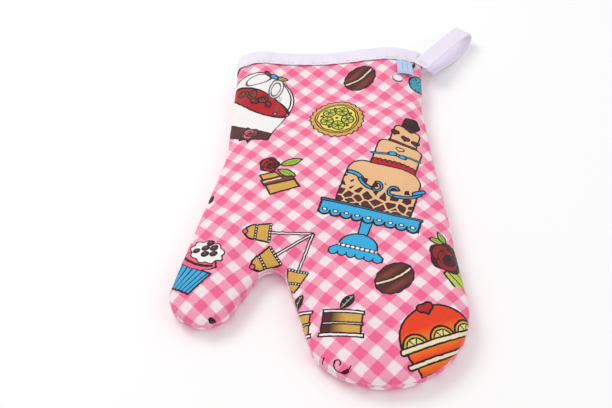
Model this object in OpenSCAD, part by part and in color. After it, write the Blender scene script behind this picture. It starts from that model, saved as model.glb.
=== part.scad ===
// Padded oven mitt lying flat: printed cotton outside, batting, cotton lining,
// a bound cuff, a hanging loop and a small label.
// +Y runs from the fingertips to the cuff, +Z is up, z = 0 is the table.

/* [Mitt] */
// Distance of the cuff's open edge from the origin
cuff_y = 124; // [110:1:130]
// Width of the mitt at the cuff
cuff_w = 133; // [124:1:136]
// How far the cuff's edge dips between its corners
cuff_dip = 0.8; // [0:0.1:2]
// Width of the mitt at its narrowest, above the wrist
waist_w = 130; // [124:1:134]
// Radius of the padded edge all round, half the mitt's thickness at its sides
edge_r = 8.5; // [8:0.1:9.5]
// Extra height of the front along the middle of the hand
crown_h = 3; // [1:0.1:5]
// Radius of the outer curve of the fingertips
tip_big_r = 50; // [46:0.5:52]
// Radius of the inner curve of the fingertips, on the thumb's side
tip_small_r = 20; // [19:0.5:22]
// Radius of the thumb's tip
thumb_r = 21; // [19:0.5:22]
// Radius of the notch between the thumb and the fingers
crotch_r = 8.3; // [6:0.1:9]

/* [Layers] */
// Thickness of the printed outer cotton
outer_t = 1.2; // [1:0.1:1.4]
// Thickness of the batting
batting_t = 4.3; // [3.5:0.1:4.5]
// Thickness of the lining
lining_t = 0.6; // [0.4:0.1:0.8]
// Thickness of the folded binding tape
binding_t = 0.8; // [0.5:0.1:0.9]
// Width of the binding on each side of the cuff
binding_w = 14; // [9:1:15]
// Thickness of a sewing thread
thread_t = 0.5; // [0.3:0.1:0.6]

/* [Hanging loop] */
// Width of the loop's tape
tape_w = 12; // [10:1:13]
// Thickness of the loop's tape
tape_t = 1.2; // [0.8:0.1:1.4]
// Length of the loop beyond the cuff's corner
loop_len = 50; // [35:1:60]
// Height of the loop where it leaves the mitt
loop_h = 17; // [14:0.5:18]
// Direction of the loop in plan, from +X
loop_dir = 47; // [40:1:55]

/* [Label] */
// Width of the label
label_w = 10; // [8:1:14]
// Length of the label below the binding
label_len = 16; // [12:1:20]
// Thickness of the label
label_t = 0.5; // [0.4:0.1:0.8]

/* [Hidden] */

// Colours of the cloths
pink = [0.96, 0.62, 0.76];
rose = [0.97, 0.45, 0.65];
wadding = [0.93, 0.92, 0.89];
calico = [0.95, 0.94, 0.91];
tape_white = [0.91, 0.89, 0.94];
thread_white = [0.98, 0.97, 0.96];
label_blue = [0.70, 0.78, 0.93];

big = 400;
seam_z = edge_r;
batting_in = outer_t + batting_t;
wall_t = batting_in + lining_t;

// The outline is a belt round discs [x, y, radius], anticlockwise from the cuff's
// right-hand corner. A negative radius is a hollow that the belt curves round inside.
corner_r = 24;
corner_y = cuff_y + 10;
cuff_mid_x = 1.5;
waist_mid_x = -4;
side_hollow_r = 60;
root_hollow_r = 110;
root_hollow_back = 3;
belt_discs = [
  [cuff_mid_x + cuff_w / 2 - corner_r, corner_y, corner_r],
  [cuff_mid_x - cuff_w / 2 + corner_r, corner_y, corner_r],
  [waist_mid_x - waist_w / 2 - root_hollow_r - root_hollow_back, 50, -root_hollow_r],
  [-85, -82.8, thumb_r],
  [-45.5, -74.5, -crotch_r],
  [-5.5, -119, tip_small_r],
  [18.5, -100, tip_big_r],
  [waist_mid_x + waist_w / 2 + side_hollow_r, 66, -side_hollow_r]
];
belt_step = 10;

// Rings of points across the padding: round the edge, then up the crown
edge_steps = 5;
crown_steps = 2;
crown_span = 9.5;

// Fold line of the thumb, from the crotch to the thumb's outer side. It bows
// a little towards the thumb, so the thumb opens clear of the hand.
fold_from = [-45, -66];
fold_to = [-79, 16];
fold_gap = 0.3;
fold_bow = 1.2;
fold_steps = 8;
fold_vec = fold_to - fold_from;
fold_side = [-fold_vec.y, fold_vec.x] / norm(fold_vec);

// Number of straight stretches along the cuff's edge, and the thickness of the
// thin walls that the cutting shapes are stretched between
cuff_steps = 8;
hair = 0.01;

// Place of the hanging loop at the cuff's right-hand corner
loop_root = [70, 110.5];
loop_gap = 0.4;
tip_bend_r = 4.6;
tab_len = 10;

// Rows of topstitching near the binding's edge, and bar tacks across the loop's ends
stitch_pitch = 5;
stitch_len = 3.2;
stitch_inset = 2;
stitch_span = 55;
tack_count = 3;
tack_pitch = 2.4;
tack_start = -8;
tack_inset = 1.5;

// Place of the label, at the foot of the binding
label_x = 52;
label_gap = 0.4;
label_lean = 5;

// Direction of the outward normal where the belt runs straight from disc a to disc b
function belt_normal(a, b) =
  let (d = [b.x - a.x, b.y - a.y])
  atan2(d.y, d.x) - acos((a[2] - b[2]) / norm(d));

function wrap(angle) = angle - 360 * floor(angle / 360);

function cyclic(list, i) = list[(i + len(list)) % len(list)];

// Turn of the belt round disc k, positive on a disc and negative in a hollow
function belt_turn(k, start, end) =
  belt_discs[k][2] > 0 ? wrap(end - start) : -wrap(start - end);

// Points of the belt as [x and y of the disc, radius, direction of the normal]
belt = [
  for (k = [0 : len(belt_discs) - 1])
    let (disc = belt_discs[k],
         start = belt_normal(cyclic(belt_discs, k - 1), disc),
         end = belt_normal(disc, cyclic(belt_discs, k + 1)),
         turn = belt_turn(k, start, end),
         steps = ceil(abs(turn) / belt_step))
    for (j = [0 : steps])
      [disc.x, disc.y, disc[2], start + turn * j / steps]
];

// The outline moved inwards by d, at the height z
function ring(d, z) =
  [for (q = belt) [q.x + (q[2] - d) * cos(q[3]), q.y + (q[2] - d) * sin(q[3]), z]];

function reverse(list) = [for (i = [len(list) - 1 : -1 : 0]) list[i]];

function flatten(list) = [for (part = list) for (item = part) item];

// Rings from the seam to the middle of the front, inset below the outer surface
function front_rings(inset) = concat(
  [for (j = [0 : edge_steps])
    let (a = 90 * j / edge_steps)
    ring(inset + (edge_r - inset) * (1 - cos(a)), seam_z + (edge_r - inset) * sin(a))],
  [for (j = [1 : crown_steps])
    let (t = j / crown_steps)
    ring(edge_r + crown_span * t,
         seam_z + edge_r - inset + crown_h * sin(90 * t))]);

// Rings from the seam to the flat underside
function back_rings(inset) =
  [for (j = [0 : edge_steps])
    let (a = 90 * j / edge_steps)
    ring(inset + (edge_r - inset) * (1 - cos(a)), seam_z - (edge_r - inset) * sin(a))];

// Closed solid through a list of rings, from the top one to the bottom one
module skin(rings) {
  count = len(belt);
  last = len(rings) - 1;
  sides = [
    for (k = [0 : last - 1])
      for (i = [0 : count - 1])
        let (a = k * count + i,
             b = k * count + (i + 1) % count)
        for (face = [[a, b, b + count], [a, b + count, a + count]])
          face
  ];
  top = [for (i = [count - 1 : -1 : 0]) i];
  bottom = [for (i = [0 : count - 1]) last * count + i];
  polyhedron(points = flatten(rings), faces = concat([top, bottom], sides), convexity = 6);
}

// The whole padded shape, shrunk by inset, or grown where inset is negative
module form(inset) {
  upper = front_rings(inset);
  lower = back_rings(inset);
  skin(concat(reverse(upper), [for (j = [1 : edge_steps]) lower[j]]));
}

// One layer of the wall, between two insets
module layer(from, to) {
  difference() {
    form(from);
    form(to);
  }
}

module front_layer(from, to) {
  skin(concat(reverse(front_rings(from)), front_rings(to)));
}

module back_layer(from, to) {
  skin(concat(reverse(back_rings(to)), back_rings(from)));
}

// The cuff's edge in plan, moved down by d
function cuff_edge(d) = concat(
  [[-big / 2, cuff_y - d]],
  [for (i = [0 : cuff_steps])
    let (t = i / cuff_steps)
    [cuff_mid_x + cuff_w * (t - 0.5), cuff_y - d - cuff_dip * sin(180 * t)]],
  [[big / 2, cuff_y - d]]);

// The thumb's fold line in plan, moved by shift away from the hand. It starts
// straight below the notch, so that the thumb's side takes in none of the fingers.
function crease(shift) = concat(
  [[fold_from.x + shift * fold_side.x, -big / 2]],
  [for (i = [0 : fold_steps])
    let (t = i / fold_steps)
    fold_from + t * fold_vec + (shift + fold_bow * sin(180 * t)) * fold_side]);

module wall_below(p) {
  translate([p.x, p.y - big, -big / 2])
    cube([hair, big, big]);
}

module wall_left_of(p) {
  translate([p.x - big, p.y, -big / 2])
    cube([big, hair, big]);
}

// Everything below the cuff's edge, moved down by d
module below_edge(d) {
  line = cuff_edge(d);
  for (i = [0 : len(line) - 2])
    hull() {
      wall_below(line[i]);
      wall_below(line[i + 1]);
    }
}

// Everything on the thumb's side of the fold line
module thumb_space(shift) {
  line = crease(shift);
  for (i = [0 : len(line) - 2])
    hull() {
      wall_left_of(line[i]);
      wall_left_of(line[i + 1]);
    }
}

// Everything above the table
module above_table() {
  translate([-big / 2, -big / 2, 0])
    cube([big, big, big]);
}

// Everything below the raw end of the layers, which the binding covers
module below_cuff() {
  below_edge(binding_t);
}

// The stretch of the cuff that the binding covers
module bound_zone() {
  difference() {
    below_edge(0);
    below_edge(binding_w);
  }
}

module hand_part() {
  difference() {
    intersection() {
      below_cuff();
      children();
    }
    thumb_space(-fold_gap / 2);
  }
}

module thumb_part() {
  intersection() {
    children();
    thumb_space(fold_gap / 2);
  }
}

// The outer cotton is pressed thin where the binding folds over it
module pressed_hand_part() {
  difference() {
    hand_part()
      children();
    difference() {
      layer(-1, binding_t);
      below_edge(binding_w);
    }
  }
}

module outer_front() {
  color(pink) pressed_hand_part() front_layer(0, outer_t);
}

module outer_front_thumb() {
  color(pink) thumb_part() front_layer(0, outer_t);
}

module outer_back() {
  color(rose) pressed_hand_part() back_layer(0, outer_t);
}

module outer_back_thumb() {
  color(rose) thumb_part() back_layer(0, outer_t);
}

module batting_front() {
  color(wadding) hand_part() front_layer(outer_t, batting_in);
}

module batting_front_thumb() {
  color(wadding) thumb_part() front_layer(outer_t, batting_in);
}

module batting_back() {
  color(wadding) hand_part() back_layer(outer_t, batting_in);
}

module batting_back_thumb() {
  color(wadding) thumb_part() back_layer(outer_t, batting_in);
}

module lining_front() {
  color(calico) hand_part() front_layer(batting_in, wall_t);
}

module lining_front_thumb() {
  color(calico) thumb_part() front_layer(batting_in, wall_t);
}

module lining_back() {
  color(calico) hand_part() back_layer(batting_in, wall_t);
}

module lining_back_thumb() {
  color(calico) thumb_part() back_layer(batting_in, wall_t);
}

// Lockstitch thread that joins the front and back panels, just inside the edge
module seam_line() {
  intersection() {
    layer(outer_t - thread_t / 2, outer_t + thread_t / 2);
    translate([-big / 2, -big / 2, seam_z - thread_t / 2])
      cube([big, big, thread_t]);
  }
}

module seam_thread() {
  color(thread_white) hand_part() seam_line();
}

module seam_thread_thumb() {
  color(thread_white) thumb_part() seam_line();
}

// Tape folded over the cuff's edge, along both faces of the wall
module cuff_binding() {
  color(tape_white)
    difference() {
      intersection() {
        layer(0, wall_t + binding_t);
        bound_zone();
      }
      intersection() {
        layer(binding_t, wall_t);
        below_cuff();
      }
    }
}

// Topstitching along the binding, on the front and the back
module binding_thread() {
  color(thread_white)
    intersection() {
      layer(-thread_t / 2, thread_t / 2);
      above_table();
      for (x = [-stitch_span : stitch_pitch : stitch_span - stitch_len])
        translate([x, cuff_y - binding_w + stitch_inset, 0])
          cube([stitch_len, thread_t, big]);
    }
}

// Upright prism along the loop's tape, from one distance to another
module tape_prism(from, to, w) {
  translate([loop_root.x, loop_root.y, 0])
    rotate([0, 0, loop_dir])
      translate([from, -w / 2, 0])
        cube([to - from, w, big]);
}

// The tape's sewn ends, which wrap the corner of the cuff
module loop_tab() {
  color(tape_white)
    intersection() {
      layer(-tape_t, 0);
      tape_prism(-tab_len, 0, tape_w);
      below_edge(0);
    }
}

// Bar tacks across the sewn ends
module loop_thread() {
  color(thread_white)
    intersection() {
      layer(-tape_t - thread_t / 2, -tape_t + thread_t / 2);
      translate([0, 0, seam_z])
        above_table();
      for (i = [0 : tack_count - 1])
        let (start = tack_start + i * tack_pitch)
        tape_prism(start, start + thread_t, tape_w - 2 * tack_inset);
    }
}

// Side view of the free loop: flat along the table, rising to its upper leg
module loop_side(inset) {
  hull() {
    translate([loop_len - tip_bend_r, tip_bend_r])
      circle(tip_bend_r - inset, $fn = 32);
    translate([-1, inset])
      square([1, loop_h - 2 * inset]);
  }
}

module hanging_loop() {
  color(tape_white)
    translate([loop_root.x, loop_root.y, 0])
      rotate([0, 0, loop_dir])
        translate([0, tape_w / 2, 0])
          rotate([90, 0, 0])
            linear_extrude(tape_w)
              intersection() {
                difference() {
                  loop_side(0);
                  loop_side(tape_t);
                }
                translate([loop_gap, 0])
                  square([loop_len, loop_h]);
              }
}

module label() {
  color(label_blue)
    intersection() {
      layer(-label_gap - label_t, -label_gap);
      translate([label_x, cuff_y - binding_w - label_gap, seam_z])
        rotate([0, 0, -label_lean])
          translate([-label_w / 2, -label_len, 0])
            cube([label_w, label_len, big]);
    }
}

outer_front();
outer_front_thumb();
outer_back();
outer_back_thumb();
batting_front();
batting_front_thumb();
batting_back();
batting_back_thumb();
lining_front();
lining_front_thumb();
lining_back();
lining_back_thumb();
seam_thread();
seam_thread_thumb();
cuff_binding();
binding_thread();
loop_tab();
loop_thread();
hanging_loop();
label();
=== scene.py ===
"""Looks of the padded oven mitt: printed cotton, batting, lining, bound cuff, loop and label.

Lengths are in millimetres until a mesh is made, then metres. The outline repeats part.scad's
discs. Each cloth is laid out flat first and then lifted to its padded shape.
"""

import math
from contextlib import contextmanager
from functools import reduce

import bmesh
import bpy
import numpy as np
from mathutils import Matrix, Vector


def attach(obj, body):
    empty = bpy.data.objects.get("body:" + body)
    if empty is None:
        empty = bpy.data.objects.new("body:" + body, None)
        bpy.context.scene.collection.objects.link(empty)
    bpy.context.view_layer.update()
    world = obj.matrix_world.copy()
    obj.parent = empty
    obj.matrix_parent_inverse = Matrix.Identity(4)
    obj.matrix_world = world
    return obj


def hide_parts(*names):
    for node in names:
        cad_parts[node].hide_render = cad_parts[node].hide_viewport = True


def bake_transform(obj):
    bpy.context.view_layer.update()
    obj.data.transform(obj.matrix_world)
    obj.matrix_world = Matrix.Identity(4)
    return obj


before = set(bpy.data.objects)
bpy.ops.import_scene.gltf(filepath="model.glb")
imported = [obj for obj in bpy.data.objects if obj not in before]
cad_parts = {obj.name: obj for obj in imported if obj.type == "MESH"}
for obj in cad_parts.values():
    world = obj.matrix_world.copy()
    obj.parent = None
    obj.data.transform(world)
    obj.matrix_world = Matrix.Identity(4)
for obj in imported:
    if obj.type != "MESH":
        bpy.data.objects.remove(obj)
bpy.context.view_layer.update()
MM = 0.001

# --- Shape of the mitt, as in the CAD ---
CUFF_Y = 124
RAW_Y = 121.6
EDGE_R = 8.5
SEAM_Z = EDGE_R
TOP_Z = 18.6
BINDING_W = 14
TUCK_Y = CUFF_Y - BINDING_W
COTTON = 0.9
GROOVE = 0.9
DISCS = [
    (44, 134, 24),
    (-41, 134, 24),
    (-182, 50, -110),
    (-85, -82.8, 21),
    (-45.5, -74.5, -8.3),
    (-5.5, -119, 20),
    (18.5, -100, 50),
    (121, 66, -60),
]
LABEL_X = 52
LABEL_W = 10.6
LABEL_LEN = 17
LABEL_TUCK = 2
LABEL_LEAN = -6

# --- Camera, as the photograph was taken ---
FOCAL_PX = 1000
FRAME_PX = 612
SENSOR = 36
LOOK_AT = (-22.5, -22, 18)
DISTANCE = 621.6
ELEVATION = 48.34
ROLL = -2.91


def smooth(x):
    x = np.clip(x, 0, 1)
    return x * x * (3 - 2 * x)


def polar(r, degrees):
    a = math.radians(degrees)
    return r * math.cos(a), r * math.sin(a)


def lengths(line):
    """Distance along a line of points to each of them."""
    return np.concatenate([[0], np.cumsum(np.linalg.norm(np.diff(line, axis=0), axis=1))])


def belt_normal(a, b):
    dx, dy = b[0] - a[0], b[1] - a[1]
    return math.atan2(dy, dx) - math.acos((a[2] - b[2]) / math.hypot(dx, dy))


def belt():
    """The outline from one cuff corner round to the other: points and outward directions."""
    points, normals = [], []
    for k, disc in enumerate(DISCS):
        start = belt_normal(DISCS[k - 1], disc)
        end = belt_normal(disc, DISCS[(k + 1) % len(DISCS)])
        turn = (end - start) % (2 * math.pi)
        if disc[2] < 0:
            turn = -((start - end) % (2 * math.pi))
        steps = max(2, math.ceil(abs(turn) * max(abs(disc[2]), 25) / 1.5))
        for j in range(steps + 1):
            a = start + turn * j / steps
            n = np.array([math.cos(a), math.sin(a)])
            points.append(np.array(disc[:2]) + disc[2] * n)
            normals.append(n)
    points, normals = np.array(points), np.array(normals)
    keep = ~((points[:, 1] > 140) & (np.abs(points[:, 0] - 1.5) < 60))
    first = int(np.argmax(keep & ~np.roll(keep, 1)))
    order = np.roll(np.arange(len(keep)), -first)
    order = order[keep[order]]
    return points[order], normals[order]


# --- The padded profile, across the edge ---
ROLL_LEN = EDGE_R * math.pi / 2
SPARE = ROLL_LEN - EDGE_R
CROWN_SPAN = 30
INWARD_SPAN = 12
SINK = 1.2
GROOVE_SPAN = 3
WAVE_FROM_Y = 50
LIP_R = 3.4
LIP_RISE = 3.8
LIP_X = [-66, -52, -38, -20, 0, 18, 38, 52, 66]
LIP_Z = [30, 25.4, 19.9, 17.3, 16.8, 18.2, 20, 20.3, 18.8]
SIDE_P, SIDE_N = belt()
FLAT_EDGE = SIDE_P + SPARE * SIDE_N


def front_rise(inside):
    """Share of the front's full height inside the outline: a small roll, then a low crown."""
    roll = np.sqrt(np.maximum(1 - np.clip(1 - inside / LIP_R, 0, 1) ** 2, 0))
    crown = np.sin(np.clip(inside / CROWN_SPAN, 0, 1) * math.pi / 2)
    share = LIP_RISE / (TOP_Z - SEAM_Z)
    return share * roll + (1 - share) * crown


def side_distance(q):
    """Distance inside the flat cloth's side edge, and the nearest edge point's outward direction."""
    a, b = FLAT_EDGE[:-1], FLAT_EDGE[1:]
    d = b - a
    len2 = np.maximum((d**2).sum(1), 1e-9)
    dist = np.empty(len(q))
    normal = np.empty((len(q), 2))
    for lo in range(0, len(q), 4000):
        p = q[lo : lo + 4000]
        t = np.clip(((p[:, None] - a) * d).sum(2) / len2, 0, 1)
        gap = p[:, None] - (a + t[..., None] * d)
        far = (gap**2).sum(2)
        k = far.argmin(1)
        row = np.arange(len(p))
        near = t[row, k][:, None]
        n = SIDE_N[k] * (1 - near) + SIDE_N[k + 1] * near
        n /= np.linalg.norm(n, axis=1)[:, None]
        sign = np.where((gap[row, k] * n).sum(1) > 0, -1.0, 1.0)
        dist[lo : lo + 4000] = np.sqrt(far[row, k]) * sign
        normal[lo : lo + 4000] = n
    return dist, normal


def inside_of(s, lowest):
    """Distance inside the outline, seen from above, at a distance s inside the flat cloth's edge."""
    a = np.clip(s / EDGE_R, lowest, math.pi / 2)
    return np.where(s < ROLL_LEN, EDGE_R * (1 - np.cos(a)), s - SPARE)


def lift(q, front, groove=0, depth=0):
    """Points above (or below) the flat points q, on the padded surface or at a depth inside it.

    A deeper layer is drawn in sideways at the edge and sinks in proportion to the padding, so
    that layers never cross, however tight the edge is.
    """
    s, n = side_distance(q)
    inside = inside_of(s, -0.5)
    inward = depth * np.clip(1 - inside / INWARD_SPAN, 0, 1)
    plan = q + n * (s - SPARE - inside - inward)[:, None]
    sign = np.sign(np.where(s < 0, s, 1.0))
    if front:
        rise = front_rise(inside) * sign
        cuff = smooth((plan[:, 1] - WAVE_FROM_Y) / (CUFF_Y - WAVE_FROM_Y))
        # the cuff's edge waves: bulky at the thumb's corner, pressed in the middle
        top = TOP_Z * (1 - cuff) + np.interp(plan[:, 0], LIP_X, LIP_Z) * cuff
        z = SEAM_Z + rise * (top - SEAM_Z) - depth * np.clip(SINK * rise, 0, 1)
    else:
        t = np.clip(1 - inside / EDGE_R, 0, 1)
        rise = np.sqrt(1 - t**2) * sign
        z = SEAM_Z - rise * EDGE_R + depth * np.clip(SINK * rise, 0, 1)
    if groove:
        dip = groove * np.clip(1 - np.abs(s) / GROOVE_SPAN, 0, 1) ** 2
        plan = plan - n * dip[:, None]
    return np.column_stack([plan, z])


def surface(q, front, depth):
    """Points at a depth under the padded surface, or above it, and the outward direction."""
    step = 0.25
    depth = np.asarray(depth)
    p = lift(q, front, 0, np.maximum(depth, 0))
    dx = lift(q + [step, 0], front) - lift(q - [step, 0], front)
    dy = lift(q + [0, step], front) - lift(q - [0, step], front)
    n = np.cross(dx, dy) * (1 if front else -1)
    n /= np.linalg.norm(n, axis=1)[:, None]
    return p - n * np.minimum(depth, 0)[..., None], n


def cloth_place(q, front):
    """Flat cloth coordinates of the points q: true lengths along the padded surface."""
    if not front:
        return q
    s, n = side_distance(q)
    i = np.linspace(0, 1, 400) ** 2 * CROWN_SPAN
    arc = lengths(np.column_stack([i, front_rise(i) * (TOP_Z - SEAM_Z)]))
    spare = arc[-1] - CROWN_SPAN
    inside = inside_of(s, 0)
    along = np.where(inside < CROWN_SPAN, np.interp(inside, i, arc), inside + spare)
    return q + n * (s - SPARE - along + spare)[:, None]


# --- Flat meshes ---

RIM_PASSES = 60
INNER_PASSES = 25


def loops_of(quads):
    """The boundary loop of a quad mesh, in order."""
    edges = {(quad[i], quad[(i + 1) % 4]): True for quad in quads for i in range(4)}
    follow = {a: b for a, b in edges if (b, a) not in edges}
    loop = [min(follow)]
    while follow[loop[-1]] != loop[0]:
        loop.append(follow[loop[-1]])
    return loop


def flat_rim():
    """The flat panel's side edge, cut off straight at the cuff, from left to right."""
    below = np.nonzero(FLAT_EDGE[:, 1] < RAW_Y)[0]
    ends = []
    for k, past in ((below[0], below[0] - 1), (below[-1], below[-1] + 1)):
        a, b = FLAT_EDGE[k], FLAT_EDGE[past]
        ends.append(a + (RAW_Y - a[1]) / (b[1] - a[1]) * (b - a))
    return np.vstack([ends[0], FLAT_EDGE[below], ends[1]])


def flat_grid(h):
    """Quad mesh of the flat panel, with its edge evenly spaced."""
    x0, x1 = FLAT_EDGE[:, 0].min() - h, FLAT_EDGE[:, 0].max() + h
    rows = RAW_Y - h * np.arange(int((RAW_Y - FLAT_EDGE[:, 1].min()) / h) + 2)
    gx, gy = np.meshgrid(np.arange(x0, x1 + h, h), rows)
    pts = np.column_stack([gx.ravel(), gy.ravel()])
    whole = (side_distance(pts)[0] > 0.3 * h).reshape(gx.shape)
    index = np.arange(gx.size).reshape(gx.shape)
    r, c = np.nonzero(whole[:-1, :-1] & whole[:-1, 1:] & whole[1:, :-1] & whole[1:, 1:])
    corners = [index[r, c], index[r + 1, c], index[r + 1, c + 1], index[r, c + 1]]
    used, quads = np.unique(np.column_stack(corners), return_inverse=True)
    pts, quads = pts[used], [tuple(quad) for quad in quads.reshape(-1, 4).tolist()]
    # the loop starts with the cuff's own row, which stays straight
    loop = loops_of(quads)
    top = pts[loop][:, 1] > RAW_Y - 0.01
    turn = int(np.argmax(top & ~np.roll(top, 1)))
    loop = loop[turn:] + loop[:turn]
    count = int(top.sum())
    side = loop[count - 1 :] + [loop[0]]
    rim = flat_rim()
    arc = lengths(rim)
    if np.linalg.norm(rim[0] - pts[side[0]]) > np.linalg.norm(rim[-1] - pts[side[0]]):
        rim, arc = rim[::-1], arc[-1] - arc[::-1]
    place = np.array([arc[((rim - pts[v]) ** 2).sum(1).argmin()] for v in side])
    place[0], place[-1] = 0, arc[-1]
    place = np.maximum.accumulate(place)
    for _ in range(RIM_PASSES):
        place[1:-1] = (place[:-2] + place[2:]) / 2 * 0.5 + place[1:-1] * 0.5
    pts[side] = np.column_stack([np.interp(place, arc, rim[:, k]) for k in range(2)])
    pts[loop[:count], 0] = np.linspace(pts[loop[0], 0], pts[loop[count - 1], 0], count)
    # even out the inside
    inner = np.ones(len(pts), bool)
    inner[loop] = False
    pairs = {tuple(sorted((quad[i], quad[i - 1]))) for quad in quads for i in range(4)}
    pairs = np.array(sorted(pairs)).T
    for _ in range(INNER_PASSES):
        total, weight = np.zeros_like(pts), np.zeros(len(pts))
        for a, b in (pairs, pairs[::-1]):
            np.add.at(total, a, pts[b])
            np.add.at(weight, a, 1)
        pts[inner] += 0.5 * (total / weight[:, None] - pts)[inner]
    return pts, quads


# --- Mesh helpers ---


def make_object(name, points, faces, materials=(), face_slots=None):
    """A mesh object from points in millimetres."""
    mesh = bpy.data.meshes.new(name)
    faces = [tuple(int(i) for i in f) for f in faces]
    mesh.from_pydata((np.asarray(points) * MM).tolist(), [], faces)
    for m in materials:
        mesh.materials.append(m)
    if face_slots is not None:
        mesh.polygons.foreach_set("material_index", np.asarray(face_slots, np.int32))
    mesh.polygons.foreach_set("use_smooth", [True] * len(mesh.polygons))
    mesh.update()
    obj = bpy.data.objects.new(name, mesh)
    bpy.context.scene.collection.objects.link(obj)
    return obj


def ring_faces(loop_a, loop_b):
    """Quads between two matching closed loops of point numbers."""
    n = len(loop_a)
    return [(loop_a[k], loop_b[k], loop_b[(k + 1) % n], loop_a[(k + 1) % n]) for k in range(n)]


def tube(count, n, closed=False):
    """Faces through count rings of n points each, with capped ends or closed on itself."""
    rings = [[j * n + i for i in range(n)] for j in range(count)]
    faces = []
    for j in range(count if closed else count - 1):
        faces += ring_faces(rings[j], rings[(j + 1) % count])
    return faces if closed else faces + [tuple(rings[0]), tuple(rings[-1][::-1])]


def shell(name, top, bottom, quads, materials=(), slots=None):
    """A closed sheet between two matching surfaces. Its underside and rim take the last material."""
    n = len(top)
    loop = loops_of(quads)
    hidden = [tuple(v + n for v in quad[::-1]) for quad in quads]
    hidden += ring_faces(loop, [v + n for v in loop])
    slots = [0] * len(quads) if slots is None else list(slots)
    slots += [len(materials) - 1] * len(hidden)
    return make_object(name, np.vstack([top, bottom]), list(quads) + hidden, materials, slots)


def put_cloth(obj, places):
    """Flat cloth coordinates in millimetres, one for each point, read by the materials."""
    data = obj.data.attributes.new("cloth", "FLOAT_VECTOR", "POINT")
    flat = np.zeros((len(obj.data.vertices), 3), np.float32)
    flat[:, : np.shape(places)[1]] = places
    data.data.foreach_set("vector", flat.ravel())


def read(items, name):
    """A vector of each item, as rows."""
    out = np.empty(len(items) * 3)
    items.foreach_get(name, out)
    return out.reshape(-1, 3)


def apply_modifiers(obj):
    bpy.context.view_layer.update()
    depsgraph = bpy.context.evaluated_depsgraph_get()
    mesh = bpy.data.meshes.new_from_object(obj.evaluated_get(depsgraph), depsgraph=depsgraph)
    old = obj.data
    obj.modifiers.clear()
    obj.data = mesh
    bpy.data.meshes.remove(old)


def subdivide(obj):
    m = obj.modifiers.new("smooth", "SUBSURF")
    m.levels = m.render_levels = 1
    m.boundary_smooth = "PRESERVE_CORNERS"
    apply_modifiers(obj)


def fix_normals(obj):
    """Turns every face outwards."""
    bm = bmesh.new()
    bm.from_mesh(obj.data)
    bmesh.ops.recalc_face_normals(bm, faces=bm.faces[:])
    bm.to_mesh(obj.data)
    bm.free()


# --- Shader kit: printing with signed distances on flat cloth coordinates ---


def linear(rgb):
    """A colour given as the eye sees it, 0 to 255, as a linear one."""
    c = np.array(rgb, float) / 255
    c = np.where(c <= 0.04045, c / 12.92, ((c + 0.055) / 1.055) ** 2.4)
    return (*c.tolist(), 1.0)


DARK = (44, 20, 24)
PEN_WIDTH = 1.6
FAR = 400
WAVE = 0.31
GIVES_VALUE = ("LENGTH", "DISTANCE", "DOT_PRODUCT")


class Kit:
    """Short forms for the nodes of one tree. A value may be a number or another node's socket."""

    def __init__(self, tree):
        self.nodes, self.links = tree.nodes, tree.links

    def put(self, socket, value):
        if isinstance(value, bpy.types.NodeSocket):
            self.links.new(value, socket)
        elif value is not None:
            socket.default_value = value

    def node(self, kind, inputs, **settings):
        n = self.nodes.new("ShaderNode" + kind)
        for key, value in settings.items():
            setattr(n, key, value)
        for key, value in inputs.items():
            self.put(n.inputs[key], value)
        return n

    def math(self, op, *values, clamp=False):
        return self.node("Math", dict(enumerate(values)), operation=op, use_clamp=clamp).outputs[0]

    def times_plus(self, a, b, c, clamp=False):
        return self.math("MULTIPLY_ADD", a, b, c, clamp=clamp)

    def grow(self, d, by):
        return self.math("SUBTRACT", d, by)

    def vec(self, op, *values, **named):
        n = self.node("VectorMath", {**dict(enumerate(values)), **named}, operation=op)
        return n.outputs["Value" if op in GIVES_VALUE else "Vector"]

    def split(self, vector):
        return self.node("SeparateXYZ", {0: vector}).outputs[:2]

    def mix(self, factor, a, b):
        """Mixes two colours, each given 0 to 255 or as a socket."""
        a, b = (linear(c) if isinstance(c, tuple) else c for c in (a, b))
        return self.node("Mix", {"Factor": factor, 6: a, 7: b}, data_type="RGBA").outputs[2]

    def noise(self, at, scale, detail=2, rough=0.5, colour=False):
        inputs = {"Vector": at, "Scale": scale, "Detail": detail, "Roughness": rough}
        return self.node("TexNoise", inputs).outputs["Color" if colour else "Fac"]

    def slub(self, at, x, y):
        """Noise drawn out into threads, thicker and thinner."""
        return self.noise(self.vec("MULTIPLY", at, (x, y, 1)), 1, 3, 0.6)

    def woven(self, at, sizes, stray, detail=1):
        """Threads of the given sizes that run over and under each other."""
        looks = {"Vector": at, "Distortion": stray, "Detail Scale": detail}
        rows = [
            self.node("TexWave", {**looks, "Scale": WAVE / size}, bands_direction=axis).outputs["Fac"]
            for axis, size in zip("XY", sizes)
        ]
        return self.math("MULTIPLY", *rows)


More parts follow.
